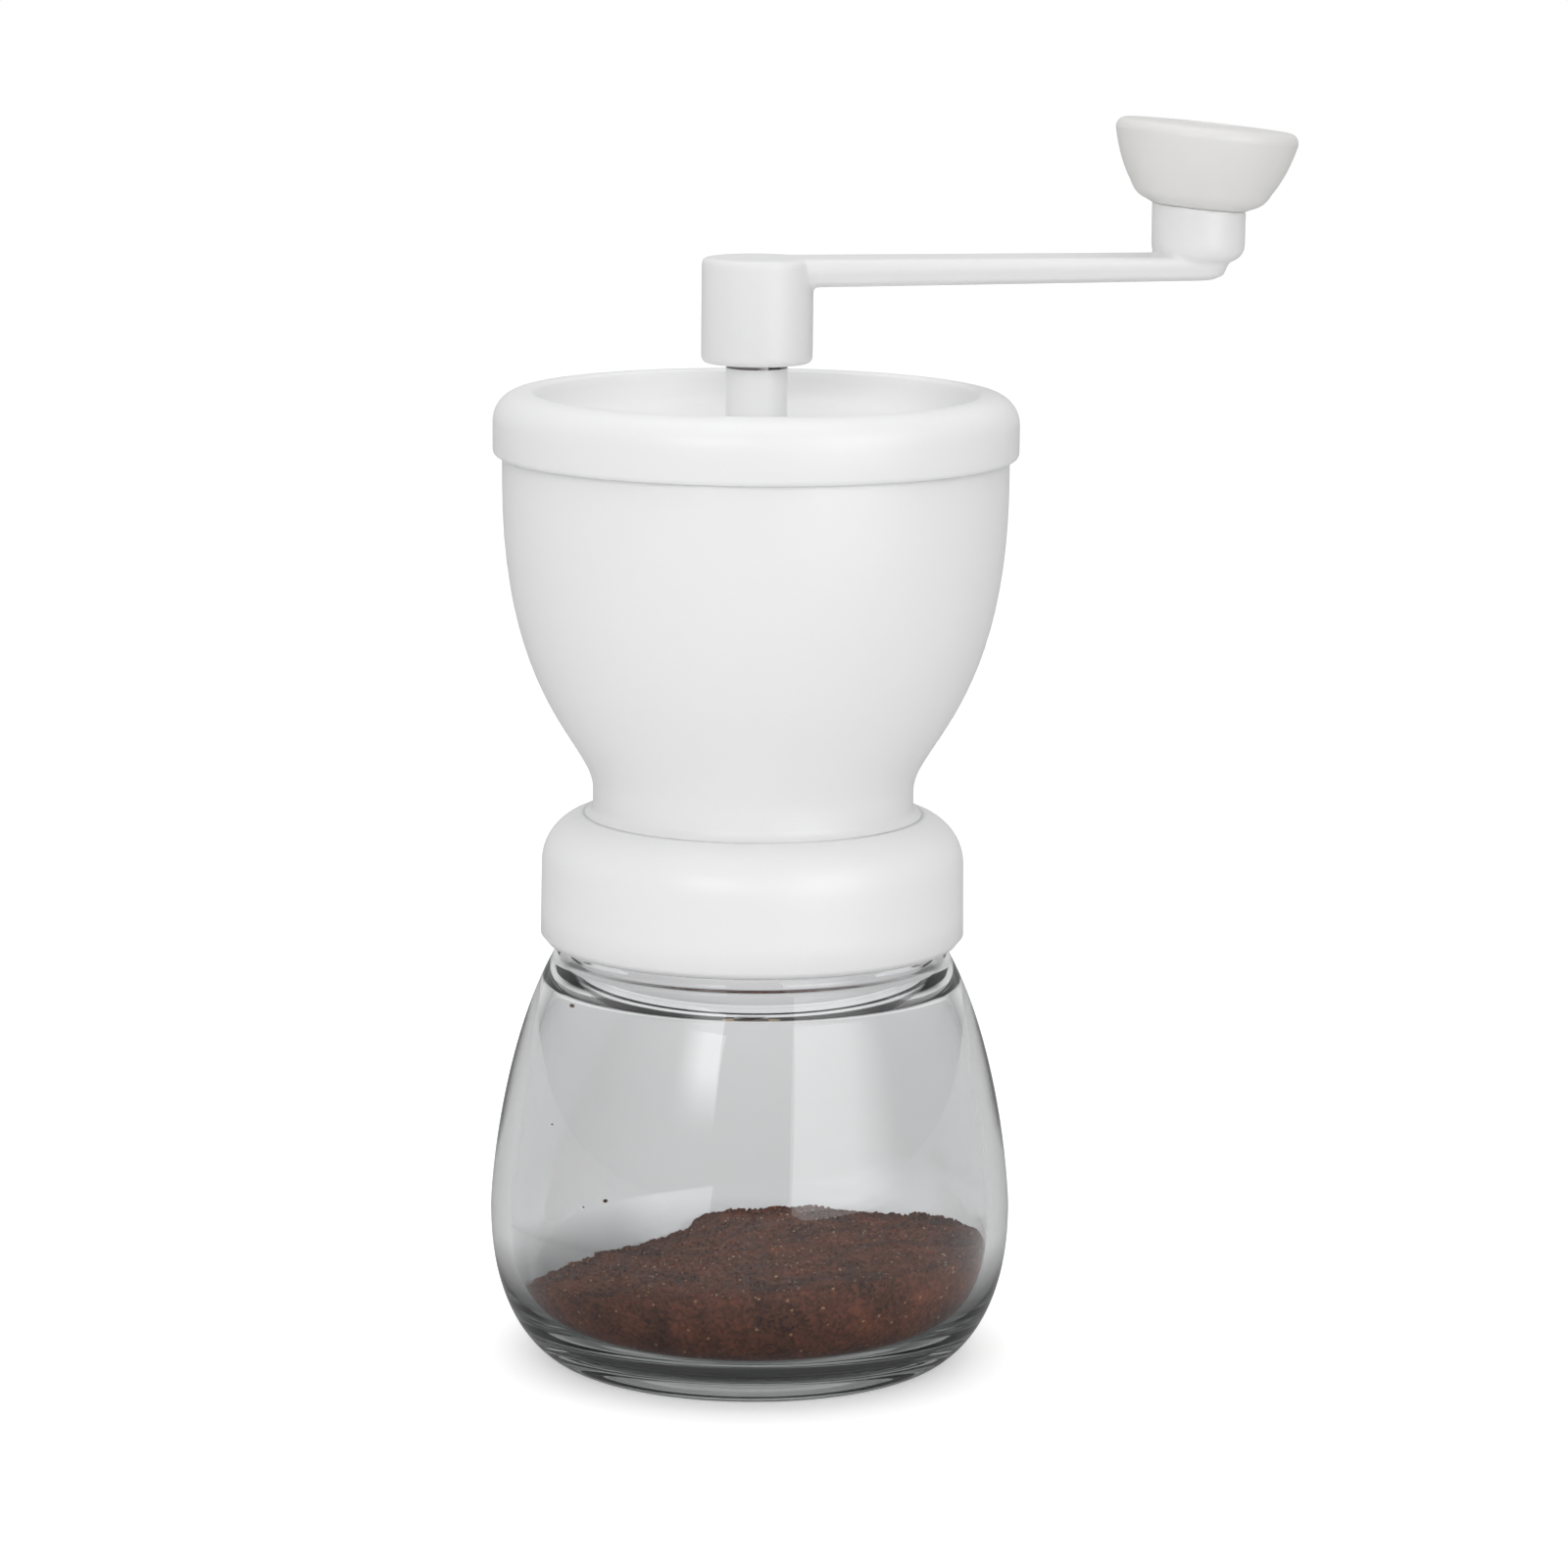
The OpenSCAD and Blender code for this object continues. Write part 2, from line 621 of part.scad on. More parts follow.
// A spring clip with three prongs, open on one side
module shaft_clip() {
    groove_r = drive_flats / 2 - 0.3;
    color([0.16, 0.16, 0.17]) translate([0, 0, clip_z]) difference() {
        cylinder(h = clip_t, r = sleeve_r);
        translate([0, 0, -1]) cylinder(h = clip_t + 2, r = groove_r + fit);
        for (a = [-65, 55]) rotate([0, 0, a]) translate([groove_r, 0, -1])
            cylinder(h = clip_t + 2, r = 0.9, $fn = 24);
        rotate([0, 0, -65]) translate([groove_r - 0.4, -1.2, -1])
            cube([sleeve_r, 2.4, clip_t + 2]);
    }
}

// The spring is one unbroken tube of wire, closed at both ends
spring_ring_n = 16;
spring_sides = 6;
spring_run = spring_h - spring_wire - gap;
spring_path = [for (i = [0:spring_turns * spring_ring_n]) let (
        a = 360 * i / spring_ring_n, t = i / (spring_turns * spring_ring_n))
    [spring_r * cos(a), spring_r * sin(a), spring_z + spring_wire / 2 + spring_run * t]];

module burr_spring() {
    steps = len(spring_path) - 1;
    pts = [for (i = [0:steps]) let (a = 360 * i / spring_ring_n)
        each [for (j = [0:spring_sides - 1]) let (b = 360 * j / spring_sides)
            spring_path[i] + spring_wire / 2 * [cos(b) * cos(a), cos(b) * sin(a), sin(b)]]];
    sides = [for (i = [0:steps - 1], j = [0:spring_sides - 1]) let (
            k = (j + 1) % spring_sides, a = spring_sides * i + j, b = spring_sides * i + k,
            c = b + spring_sides, d = a + spring_sides)
        each [[a, b, c], [a, c, d]]];
    first = [for (j = [1:spring_sides - 2]) [0, j + 1, j]];
    last = [for (j = [1:spring_sides - 2])
        [spring_sides * steps, spring_sides * steps + j, spring_sides * steps + j + 1]];
    color([0.7, 0.7, 0.72]) polyhedron(pts, concat(sides, first, last));
}

module spring_seat() {
    color([0.6, 0.6, 0.62])
        ring(burr_top_z, spring_seat_t, spring_r + spring_wire / 2 + 1, shaft_r + gap);
}

module inner_burr() {
    web_r = driver_bore_r() + 0.9;
    color([0.95, 0.94, 0.91]) difference() {
        turned([[burr_hollow_r, cone_z], [cone_r, cone_z],
            [cone_shoulder_r, cone_z + cone_shoulder_h],
            [cone_shoulder_r * 0.55 + cone_top_r * 0.45, cone_z + cone_shoulder_h + 4],
            [cone_top_r, burr_top_z], [web_r, burr_top_z], [web_r, cone_hollow_z],
            [burr_hollow_r - hollow_chamfer, cone_hollow_z],
            [burr_hollow_r, cone_hollow_z - hollow_chamfer]]);
        // Slots for the driver's lugs
        for (i = [0:2]) rotate([0, 0, 120 * i])
            translate([burr_hollow_r - 1, -lug_w / 2 - fit, cone_z - 1])
            cube([1 + lug_reach, lug_w + 2 * fit, lug_h + 1.2]);
        burr_cuts(burr_flutes, cone_shoulder_r, cone_z + cone_shoulder_h,
            burr_top_z - cone_z - cone_shoulder_h + 2,
            -atan((cone_shoulder_r - cone_top_r) / (burr_top_z - cone_z - cone_shoulder_h)),
            -flute_twist, flute_w, flute_depth);
        burr_cuts(2 * burr_flutes, cone_r, cone_z, cone_shoulder_h,
            -atan(burr_taper), -flute_twist, tooth_w, tooth_depth);
    }
}

function driver_bore_r() = lower_flats / 2 / cos(30);

module burr_driver() {
    color([0.2, 0.2, 0.21]) difference() {
        union() {
            translate([0, 0, driver_z]) cylinder(h = driver_t, r = driver_flange_r);
            translate([0, 0, driver_z])
                cylinder(h = cone_hollow_z - hollow_chamfer - driver_z, r = driver_r);
            for (i = [0:2]) rotate([0, 0, 120 * i])
                translate([driver_r - 1, -lug_w / 2, cone_z - 0.5])
                cube([1 + lug_reach, lug_w, lug_h + 0.5]);
        }
        hex_bar(driver_z - 1, cone_hollow_z - driver_z + 2, lower_flats + 2 * socket_gap);
    }
}

module adjusting_nut() {
    notches = 12;
    color([0.2, 0.2, 0.21]) translate([0, 0, nut_z]) difference() {
        rotate_extrude() polygon([[insert_r, 0], [nut_r - 0.6, 0], [nut_r, 0.6],
            [nut_r, nut_h - 0.6], [nut_r - 0.6, nut_h], [insert_r, nut_h]]);
        for (i = [0:notches - 1]) rotate([0, 0, 360 * i / notches])
            translate([nut_r + 0.6, 0, -1]) cylinder(h = nut_h + 2, r = 1.5, $fn = 24);
    }
}

module nut_insert() {
    color([0.8, 0.62, 0.3]) ring(nut_z, nut_h, insert_r, shaft_thread_d / 2 + fit);
}

// The lid is a cap with a rounded crest, a dish and a ring that plugs the bowl
module lid() {
    crest = [lid_r - lid_round, lid_crest_z - lid_round];
    outline = concat(
        [[lid_hole_r, lid_floor_z - lid_floor_t], [plug_r - plug_t, lid_floor_z - lid_floor_t],
         [plug_r - plug_t, rim_z - lid_plug_h], [plug_r - 0.5, rim_z - lid_plug_h],
         [plug_r, rim_z - lid_plug_h + 0.8], [plug_r, rim_z + gap], [skirt_ri, rim_z + gap],
         [skirt_ri, lid_z]],
        arc([lid_r - 1, lid_z + 1], 1, -90, 0, 4),
        arc(crest, lid_round, 0, 90, 10),
        arc([dish_r, lid_crest_z - dish_edge_r], dish_edge_r, 90, dish_edge_to, 5),
        curve([dish_r - dish_edge_r, lid_crest_z - 2], [dish_r - 2, lid_floor_z + 1.6],
              [dish_r - dish_slope_w, lid_floor_z + 0.3],
              [dish_r - dish_slope_w - 3, lid_floor_z], 8),
        [[lid_hole_r, lid_floor_z]]);
    color([0.94, 0.94, 0.945]) turned(outline);
}

// A round pad with a rolled lower edge, used to blend the arm's underside
module arm_pad(x, r, t) {
    translate([x, 0, crank_top_z]) rotate_extrude($fn = 32)
        polygon([[0, 0], [r - 0.5, 0], [r, -0.5], [r, -t + arm_under],
            [r - arm_under * 0.3, -t + arm_under * 0.3], [r - arm_under, -t], [0, -t]]);
}

// Everything above the post is drawn along the knob's leaning axis
module on_knob_axis() {
    translate([crank_l, 0, post_top_z]) rotate([0, knob_lean, 0]) children();
}

// Hub, arm and post are one moulding
module crank_arm() {
    foot_z = crank_top_z - post_sink;
    color([0.92, 0.92, 0.925]) difference() {
        union() {
            turned(concat([[0, crank_z]], arc([hub_r - 1, crank_z + 1], 1, -90, 0, 4),
                arc([hub_r - 1, crank_top_z - 1], 1, 0, 90, 4), [[0, crank_top_z]]));
            hull() {
                arm_pad(0, arm_w / 2, arm_t);
                arm_pad(crank_l - arm_short, arm_w / 2 + arm_flare, arm_tip_t);
            }
            difference() {
                translate([crank_l, 0, 0]) turned(concat([[0, foot_z]],
                    arc([post_r - post_edge_r, foot_z + post_edge_r], post_edge_r, -90, 0, 6),
                    [[post_r, post_top_z + post_r], [0, post_top_z + post_r]]));
                on_knob_axis() translate([-post_d, -post_d, 0])
                    cube([2 * post_d, 2 * post_d, post_d]);
            }
        }
        // Socket for the shaft's hexagon, and the hole for the spindle
        hex_bar(crank_z - 1, drive_h + gap + 1, drive_flats + 2 * socket_gap);
        on_knob_axis() translate([0, 0, -spindle_root])
            cylinder(h = spindle_root + 1, r = spindle_r);
    }
}

module knob_spindle() {
    color([0.75, 0.75, 0.76]) on_knob_axis() difference() {
        translate([0, 0, -spindle_root])
            cylinder(h = spindle_root + spindle_top, r = spindle_r);
        translate([0, 0, spindle_top - knob_hole_l])
            cylinder(h = knob_hole_l + 1, r = knob_screw_d / 2, $fn = 24);
    }
}

module knob_washer() {
    color([0.7, 0.7, 0.7]) on_knob_axis()
        ring(spindle_top, knob_washer_t, well_r - 0.5, knob_screw_d / 2 + fit);
}

module knob_screw() {
    color([0.7, 0.7, 0.7]) on_knob_axis() translate([0, 0, spindle_top + knob_washer_t])
        screw(knob_washer_t + knob_screw_l, knob_screw_d, 5.4, 1.8);
}

module knob() {
    side_z = knob_h - 2.4;
    outline = concat(
        [[spindle_r + fit, knob_gap], [knob_foot_r - 0.5, knob_gap]],
        curve([knob_foot_r, knob_gap + 0.3], [knob_foot_r + 1.5, knob_gap + 0.9],
              [knob_r - 4.5, knob_gap + 1.2], [knob_r - 3.6, 3.4], 6),
        arc([knob_r - knob_edge_r, side_z + 0.4], knob_edge_r, knob_edge_from, knob_edge_to, 8),
        [[cap_r + fit + 0.4, knob_h], [cap_r + fit, knob_h - 0.4],
         [cap_r + fit, knob_h - cap_t], [well_r, knob_h - cap_t], [well_r, web_top],
         [spindle_r + fit, web_top]]);
    color([0.91, 0.91, 0.91]) on_knob_axis() turned(outline);
}

module knob_cap() {
    color([0.92, 0.92, 0.92]) on_knob_axis() turned([[0, knob_h - cap_t],
        [cap_r, knob_h - cap_t], [cap_r, knob_h - 0.6], [cap_r - 0.4, knob_h - 0.25],
        [cap_r - 1.6, knob_h - 0.25], [cap_r - 2.2, knob_h - 0.5], [0, knob_h - 0.5]]);
}

glass_jar();
coffee_grounds();
jar_gasket();
hopper_body();
outer_burr();
burr_retainer();
retainer_screws();
shaft_carrier();
carrier_screws();
lower_bush();
upper_bush();
drive_shaft();
thrust_washer();
shaft_sleeve();
shaft_clip();
burr_spring();
spring_seat();
inner_burr();
burr_driver();
adjusting_nut();
nut_insert();
lid();
crank_arm();
knob_spindle();
knob_washer();
knob_screw();
knob();
knob_cap();
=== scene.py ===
"""Hand coffee grinder with a round smoked jar, a white hourglass hopper and a crank.

Sizes are in millimetres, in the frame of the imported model, and MM turns them into metres.
"""

import math
import random

import bmesh
import bpy
from mathutils import Matrix, Vector, noise


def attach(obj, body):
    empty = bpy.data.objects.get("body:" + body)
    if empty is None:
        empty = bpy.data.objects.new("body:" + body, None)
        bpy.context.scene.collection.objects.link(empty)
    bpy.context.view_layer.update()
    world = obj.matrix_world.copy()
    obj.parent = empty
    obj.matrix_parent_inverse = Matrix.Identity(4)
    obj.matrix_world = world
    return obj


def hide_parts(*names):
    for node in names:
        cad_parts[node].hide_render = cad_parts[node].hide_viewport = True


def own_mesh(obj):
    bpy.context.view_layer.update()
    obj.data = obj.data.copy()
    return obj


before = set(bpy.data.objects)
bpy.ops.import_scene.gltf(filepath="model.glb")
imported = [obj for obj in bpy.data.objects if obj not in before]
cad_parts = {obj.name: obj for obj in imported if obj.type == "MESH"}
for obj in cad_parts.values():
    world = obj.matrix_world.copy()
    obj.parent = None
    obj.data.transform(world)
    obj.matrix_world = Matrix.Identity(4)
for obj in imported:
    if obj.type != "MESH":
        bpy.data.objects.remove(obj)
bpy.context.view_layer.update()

MM = 0.001
SEED = 7

# Jar
BELLY_R = 44.8
BELLY_Z = 26.0
FOOT_R = 33.0
FOOT_W = 3.0
PUNT = 1.5
FLOOR_Z = 5.5
WALL = 3.4
BELLY_PULL = 4.5
HEEL_PULL = 0.81 * BELLY_Z
NECK_R = 31.6
NECK_RI = 28.6
NECK_Z = 71.6
BEAD_R = 34.4
BEAD_Z = 70.5
BEAD_EDGE_R = 1.4
SHOULDER_STEEP = math.radians(62)
SHOULDER_WAY = (-math.cos(SHOULDER_STEEP), math.sin(SHOULDER_STEEP))
SHOULDER_PULL = 18.0
INNER_TOP = (33.1, 65.0)
INNER_PULL = 13.0
NECK_TURN = (-1.6, 1.2)
MOUTH_Z = 88.0
THREAD_Z = 78.55
THREAD_PITCH = 4.2
THREAD_TURNS = 1.25
THREAD_DEPTH = 1.3
THREAD_FOOT = 2.0
THREAD_CREST = 1.0

# Grounds
GROUNDS_Z = 17.3
GROUNDS_SLOPE = math.tan(math.radians(7))
GROUNDS_TURN = math.radians(-56)
GROUNDS_GAP = 0.15
HEAPS = ((11, 26.4, 15, 1.4), (-23.8, -7.8, 13, 1), (16.9, -18.4, 14, 1))
LEDGE = (1.2, 38.0, 5.5, 0.9)
HOLLOW = (29.0, 29.0, 11.0, 0.5)
FALL = (-29.5, 22.0, 33.0, 3.0)

# Knob, turned on an axis that leans out from the top of the crank's post
KNOB_FOOT = (76.4, 0, 198.1)
KNOB_LEAN = math.radians(5.5)
KNOB_R = 15.6
KNOB_FOOT_R = 8.7
KNOB_WAIST = (12.1, 3.3)
KNOB_H = 14.2
KNOB_EDGE_R = 1.7
KNOB_BORE_R = 3.05
CAP_SEAT_R = 5.95
CAP_SEAT_Z = 12.9
WELL_R = 5.05
WELL_Z = 9.2

# Crank and spring
CRANK_VOXEL = 0.35
SPRING_Z0 = 92.75
SPRING_Z1 = 99.65
SPRING_R = 5.45
SPRING_WIRE_R = 0.45
SPRING_TURNS = 4

# Camera: where the photograph was taken from
VIEW_TURN = math.radians(10.6)
VIEW_PITCH = math.radians(10.02)
VIEW_DISTANCE = 0.960
VIEW_HEIGHT = 0.2695
VIEW_ASIDE = 0.00526
VIEW_ROLL = math.radians(0.54)
LENS = 130.8
GLASS_TURNS = 24
SENSOR = 36.0


# Outlines, as lists of (radius, height)
def curve(p0, p1, p2, p3, n):
    points = []
    for i in range(n + 1):
        t = i / n
        w = ((1 - t) ** 3, 3 * (1 - t) ** 2 * t, 3 * (1 - t) * t * t, t ** 3)
        points.append(tuple(sum(k * p[j] for k, p in zip(w, (p0, p1, p2, p3))) for j in (0, 1)))
    return points


def arc(centre, r, a0, a1, n):
    angles = [math.radians(a0 + (a1 - a0) * i / n) for i in range(n + 1)]
    return [(centre[0] + r * math.cos(a), centre[1] + r * math.sin(a)) for a in angles]


def along(p, way, pull):
    return p[0] + pull * way[0], p[1] + pull * way[1]


def straight(p0, p1, step):
    n = max(1, math.ceil(math.dist(p0, p1) / step))
    return [tuple(a + (b - a) * i / n for a, b in zip(p0, p1)) for i in range(n + 1)]


def jar_inside():
    """The glass's inner face, from the floor up to the neck."""
    inner = BELLY_R - WALL
    return (curve((FOOT_R - 6, FLOOR_Z), (FOOT_R + 2, FLOOR_Z), (inner, FLOOR_Z + 3),
                  (inner, BELLY_Z), 34)
            + curve((inner, BELLY_Z), (inner, BELLY_Z + BELLY_PULL),
                    along(INNER_TOP, SHOULDER_WAY, -INNER_PULL), INNER_TOP, 44)[1:])


def jar_outside():
    foot = (FOOT_R - FOOT_W - PUNT, 0)
    edge = (BEAD_R - BEAD_EDGE_R * math.sin(SHOULDER_STEEP), BEAD_Z - BEAD_EDGE_R)
    edge_from = 90 - math.degrees(SHOULDER_STEEP)
    top = arc(edge, BEAD_EDGE_R, edge_from, 90, 10)
    return (straight((0, PUNT), (foot[0], PUNT), 4)[:-1]
            + arc(foot, PUNT, 90, 0, 8)
            + straight((FOOT_R - FOOT_W, 0), (FOOT_R, 0), 1)[1:]
            + curve((FOOT_R, 0), (FOOT_R + 1.3, 0), (BELLY_R, BELLY_Z - HEEL_PULL),
                    (BELLY_R, BELLY_Z), 44)[1:]
            + curve((BELLY_R, BELLY_Z), (BELLY_R, BELLY_Z + BELLY_PULL),
                    along(top[0], SHOULDER_WAY, -SHOULDER_PULL), top[0], 44)[1:]
            + top[1:]
            + arc((NECK_R + 0.8, BEAD_Z + 0.8), 0.8, -90, -180, 6)
            + straight((NECK_R, BEAD_Z + 0.8), (NECK_R, MOUTH_Z - 1), 0.34)[1:]
            + arc((NECK_R - 1, MOUTH_Z - 1), 1, 0, 90, 8)[1:])


def jar_neck_inside():
    return (curve(INNER_TOP, along(INNER_TOP, NECK_TURN, 1),
                  (NECK_RI, NECK_Z - 3.0), (NECK_RI, NECK_Z), 14)[1:]
            + straight((NECK_RI, NECK_Z), (NECK_RI, MOUTH_Z - 0.8), 2)[1:]
            + arc((NECK_RI + 0.8, MOUTH_Z - 0.8), 0.8, 180, 90, 6)[1:])


# Meshes
def finish(bm, name, body, material, replaced=(), sharp=35):
    """Turns a bmesh drawn in millimetres into a piece that rides on a body."""
    bmesh.ops.scale(bm, vec=(MM, MM, MM), verts=bm.verts)
    mesh = bpy.data.meshes.new(name)
    bm.to_mesh(mesh)
    bm.free()
    mesh.polygons.foreach_set("use_smooth", [True] * len(mesh.polygons))
    mesh.set_sharp_from_angle(angle=math.radians(sharp))
    piece = bpy.data.objects.new(name, mesh)
    bpy.context.scene.collection.objects.link(piece)
    mesh.materials.append(material)
    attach(piece, body)
    if replaced:
        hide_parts(*replaced)
    return piece


def lathe(outline, steps, closed=False):
    """Spins an outline round the shaft's axis. It starts and ends on the axis, or is closed."""
    bm = bmesh.new()
    verts = [bm.verts.new((r, 0, z)) for r, z in outline]
    pairs = list(zip(verts, verts[1:])) + ([(verts[-1], verts[0])] if closed else [])
    edges = [bm.edges.new(p) for p in pairs]
    bmesh.ops.spin(bm, geom=verts + edges, cent=(0, 0, 0), axis=(0, 0, 1), dvec=(0, 0, 0),
                   angle=2 * math.pi, steps=steps, use_merge=True, use_duplicate=False)
    bmesh.ops.remove_doubles(bm, verts=bm.verts, dist=1e-4)
    bmesh.ops.recalc_face_normals(bm, faces=bm.faces)
    return bm


def merged_copy(node):
    """A copy of a frame node's mesh, in millimetres, with its loose triangles joined."""
    bm = bmesh.new()
    bm.from_mesh(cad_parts[node].data)
    bmesh.ops.scale(bm, vec=(1 / MM,) * 3, verts=bm.verts)
    bmesh.ops.remove_doubles(bm, verts=bm.verts, dist=1e-3)
    for layer in list(bm.loops.layers.float_vector.values()):
        bm.loops.layers.float_vector.remove(layer)
    return bm


# Materials
def new_material(name):
    material = bpy.data.materials.new(name)
    material.use_nodes = True
    return material, material.node_tree, material.node_tree.nodes["Principled BSDF"]


def add(tree, kind, inputs=None, **settings):
    made = tree.nodes.new(kind)
    for key, value in settings.items():
        setattr(made, key, value)
    for key, value in (inputs or {}).items():
        made.inputs[key].default_value = value
    return made


def pattern(tree, kind, scale, stretch=(1, 1, 1), **inputs):
    """A noise or cell texture on object coordinates. scale is in features per metre."""
    coords = add(tree, "ShaderNodeTexCoord")
    place = add(tree, "ShaderNodeMapping", {"Scale": stretch})
    texture = add(tree, kind, {"Scale": scale, **inputs})
    tree.links.new(coords.outputs["Object"], place.inputs["Vector"])
    tree.links.new(place.outputs["Vector"], texture.inputs["Vector"])
    return texture


def spread(tree, source, low, high, start=0.3, end=0.7):
    """Maps a texture's middle range to low..high."""
    remap = add(tree, "ShaderNodeMapRange",
                {"From Min": start, "From Max": end, "To Min": low, "To Max": high})
    tree.links.new(source, remap.inputs["Value"])
    return remap.outputs["Result"]


def times(tree, first, second):
    product = add(tree, "ShaderNodeMath", operation="MULTIPLY")
    for socket, value in zip(product.inputs, (first, second)):
        if isinstance(value, float):
            socket.default_value = value
        else:
            tree.links.new(value, socket)
    return product.outputs["Value"]


def by_ray(tree, usual, **others):
    """A level for most rays, and other levels for camera, glossy or transmission rays."""
    path = add(tree, "ShaderNodeLightPath")
    level = usual
    for ray, wanted in others.items():
        choose = add(tree, "ShaderNodeMix", data_type="FLOAT")
        tree.links.new(path.outputs["Is %s Ray" % ray], choose.inputs["Factor"])
        for socket, value in (("A", level), ("B", wanted)):
            if isinstance(value, float):
                choose.inputs[socket].default_value = value
            else:
                tree.links.new(value, choose.inputs[socket])
        level = choose.outputs["Result"]
    return level


def blend_colours(tree, factor, first, second):
    mix = add(tree, "ShaderNodeMix", data_type="RGBA")
    for socket, value in (("A", first), ("B", second)):
        target = [s for s in mix.inputs if s.name == socket and s.type == "RGBA"][0]
        if isinstance(value, tuple):
            target.default_value = (*value, 1)
        else:
            tree.links.new(value, target)
    tree.links.new(factor, mix.inputs["Factor"])
    return [s for s in mix.outputs if s.type == "RGBA"][0]


def rough_surface(tree, shader, source, depth, strength=1.0):
    """Bumps the surface by depth, in millimetres."""
    bump = add(tree, "ShaderNodeBump", {"Distance": depth * MM, "Strength": strength})
    tree.links.new(source, bump.inputs["Height"])
    tree.links.new(bump.outputs["Normal"], shader.inputs["Normal"])


def moulded_plastic(name, colour, roughness):
    material, tree, shader = new_material(name)
    cloud = pattern(tree, "ShaderNodeTexNoise", 45, Detail=3)
    grain = pattern(tree, "ShaderNodeTexNoise", 1400, Detail=2)
    shade = tuple(c * 0.985 for c in colour)
    tree.links.new(blend_colours(tree, cloud.outputs["Fac"], colour, shade),
                   shader.inputs["Base Color"])
    tree.links.new(spread(tree, cloud.outputs["Fac"], roughness - 0.04, roughness + 0.04),
                   shader.inputs["Roughness"])
    rough_surface(tree, shader, grain.outputs["Fac"], 0.004)
    return material


def smoked_glass():
    material, tree, shader = new_material("smoked_glass")
    wave = pattern(tree, "ShaderNodeTexNoise", 38, Detail=1)
    film = pattern(tree, "ShaderNodeTexNoise", 90, Detail=4)
    shader.inputs["Base Color"].default_value = (0.95, 0.953, 0.96, 1)
    shader.inputs["Transmission Weight"].default_value = 1
    shader.inputs["IOR"].default_value = 1.5
    tree.links.new(spread(tree, film.outputs["Fac"], 0.0, 0.03, 0.55, 0.75),
                   shader.inputs["Roughness"])
    rough_surface(tree, shader, wave.outputs["Fac"], 0.05)
    smoke = add(tree, "ShaderNodeVolumeAbsorption",
                {"Color": (0.2, 0.23, 0.21, 1), "Density": 20})
    tree.links.new(smoke.outputs["Volume"], tree.nodes["Material Output"].inputs["Volume"])
    return material


def ground_coffee(name, dark, light, speck, painted_side_light):
    """Grains of many browns, lighter and darker in patches, with a tan fleck here and there.
    Faces that turn sideways or down, such as those against the glass, are made lighter than the tops
    by the last argument: painted light, not a colour of the grains."""
    material, tree, shader = new_material(name)
    patch = pattern(tree, "ShaderNodeTexNoise", 130, Detail=5)
    grain = pattern(tree, "ShaderNodeTexVoronoi", 1700)
    dots = pattern(tree, "ShaderNodeTexVoronoi", 420)
    tone = add(tree, "ShaderNodeSeparateColor")
    tree.links.new(grain.outputs["Color"], tone.inputs["Color"])
    half = add(tree, "ShaderNodeMath", {1: 0.5}, operation="MULTIPLY_ADD")
    tree.links.new(tone.outputs["Red"], half.inputs[0])
    tree.links.new(spread(tree, patch.outputs["Fac"], -0.15, 0.65), half.inputs[2])
    browns = blend_colours(tree, half.outputs["Value"], dark, light)
    fleck = spread(tree, dots.outputs["Distance"], 0.8, 0, 0.07, 0.15)
    loose = blend_colours(tree, fleck, browns, speck)
    # Painted light: the colour is scaled by how far each face turns from upright, so sides and
    # undersides come out lighter than the tops
    place = add(tree, "ShaderNodeNewGeometry")
    split = add(tree, "ShaderNodeSeparateXYZ")
    tree.links.new(place.outputs["True Normal"], split.inputs["Vector"])
    shade = add(tree, "ShaderNodeVectorMath", operation="SCALE")
    tree.links.new(loose, shade.inputs["Vector"])
    tree.links.new(spread(tree, split.outputs["Z"], painted_side_light, 1.0, 0.2, 0.8), shade.inputs["Scale"])
    tree.links.new(shade.outputs["Vector"], shader.inputs["Base Color"])
    tree.links.new(spread(tree, patch.outputs["Fac"], 0.7, 0.95), shader.inputs["Roughness"])
    shader.inputs["Specular IOR Level"].default_value = 0.25
    rough_surface(tree, shader, grain.outputs["Distance"], 0.25)
    return material


def turned_metal(name, colour, roughness, ring=5200):
    """Fine rings from turning or grinding, across the shaft's axis."""
    material, tree, shader = new_material(name)
    rings = pattern(tree, "ShaderNodeTexNoise", ring, (0.02, 0.02, 1), Detail=2)
    cloud = pattern(tree, "ShaderNodeTexNoise", 220, Detail=3)
    dull = tuple(c * 0.86 for c in colour)
    tree.links.new(blend_colours(tree, cloud.outputs["Fac"], colour, dull),
                   shader.inputs["Base Color"])
    shader.inputs["Metallic"].default_value = 1
    tree.links.new(spread(tree, cloud.outputs["Fac"], roughness - 0.06, roughness + 0.08),
                   shader.inputs["Roughness"])
    rough_surface(tree, shader, rings.outputs["Fac"], 0.006)
    return material


def sintered_ceramic():
    material, tree, shader = new_material("sintered_ceramic")
    cloud = pattern(tree, "ShaderNodeTexNoise", 260, Detail=4)
    grain = pattern(tree, "ShaderNodeTexNoise", 3200, Detail=2)
    tree.links.new(blend_colours(tree, cloud.outputs["Fac"], (0.80, 0.78, 0.73), (0.70, 0.67, 0.61)),
                   shader.inputs["Base Color"])
    tree.links.new(spread(tree, cloud.outputs["Fac"], 0.45, 0.62), shader.inputs["Roughness"])
    rough_surface(tree, shader, grain.outputs["Fac"], 0.012)
    return material


def silicone():
    material, tree, shader = new_material("silicone")
    bloom = pattern(tree, "ShaderNodeTexNoise", 300, Detail=4)
    tree.links.new(blend_colours(tree, bloom.outputs["Fac"], (0.76, 0.76, 0.74), (0.69, 0.69, 0.67)),
                   shader.inputs["Base Color"])
    tree.links.new(spread(tree, bloom.outputs["Fac"], 0.5, 0.7), shader.inputs["Roughness"])
    rough_surface(tree, shader, bloom.outputs["Fac"], 0.01)
    return material


